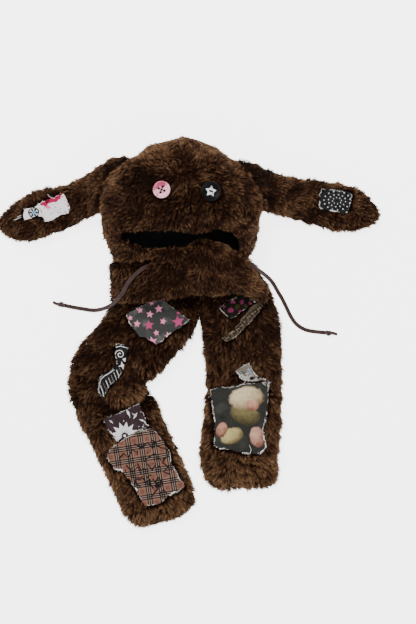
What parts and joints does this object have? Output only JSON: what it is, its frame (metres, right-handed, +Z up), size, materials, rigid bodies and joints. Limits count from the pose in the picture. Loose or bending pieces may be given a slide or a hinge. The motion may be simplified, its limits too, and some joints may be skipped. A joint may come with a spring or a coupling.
{
  "type": "animal hood scarf",
  "caption": "Plush fur hood with long floppy animal ears, button eyes, a neck band, drawcord and patched scarf tails, lying flat on its back.",
  "frame": {"origin": "on the floor, under the middle of the hood scarf's box, without the free cords", "axes": "+Z up from the floor to the face side, +Y from the tails to the crown, +X to the right as seen from above"},
  "size_m": [0.6428, 0.6602, 0.122],
  "materials": {
    "fur": "deep brown plush faux fur with lighter tips",
    "lining": "thin black lining cloth",
    "pink_plastic": "mottled pink gloss",
    "black_plastic": "black gloss",
    "pearl": "pearly white",
    "lace": "flat woven brown-mauve lace",
    "splash_cloth": "white printed cotton with frayed edges",
    "ring_cloth": "black printed cotton with frayed edges",
    "star_cloth": "grey cotton printed with pink stars",
    "curl_cloth": "black and white printed cotton",
    "plum_cloth": "dark plum printed cotton",
    "plaid_cloth": "brown and pink checked cotton",
    "spot_cloth": "near black cotton with pink spots",
    "strip_cloth": "grey-beige woven strip",
    "scrap_cloth": "white and grey printed cotton",
    "picture_cloth": "charcoal and cream printed cotton"
  },
  "bodies": {
    "root": {"hood": "fur", "hood_lining": "lining", "neck_band": "fur", "ear_left": "fur", "ear_right": "fur", "tail_left": "fur", "tail_right": "fur", "button_pink": "pink_plastic", "button_black": "black_plastic", "star_inlay": "pearl", "cord_left": "lace", "cord_right": "lace", "knot_left": "lace", "knot_right": "lace", "patch_splash": "splash_cloth", "patch_rings": "ring_cloth", "patch_stars": "star_cloth", "patch_curl": "curl_cloth", "patch_plum": "plum_cloth", "patch_plaid": "plaid_cloth", "patch_spots": "spot_cloth", "patch_strip": "strip_cloth", "patch_scrap": "scrap_cloth", "patch_picture": "picture_cloth"}
  },
  "joints": []
}
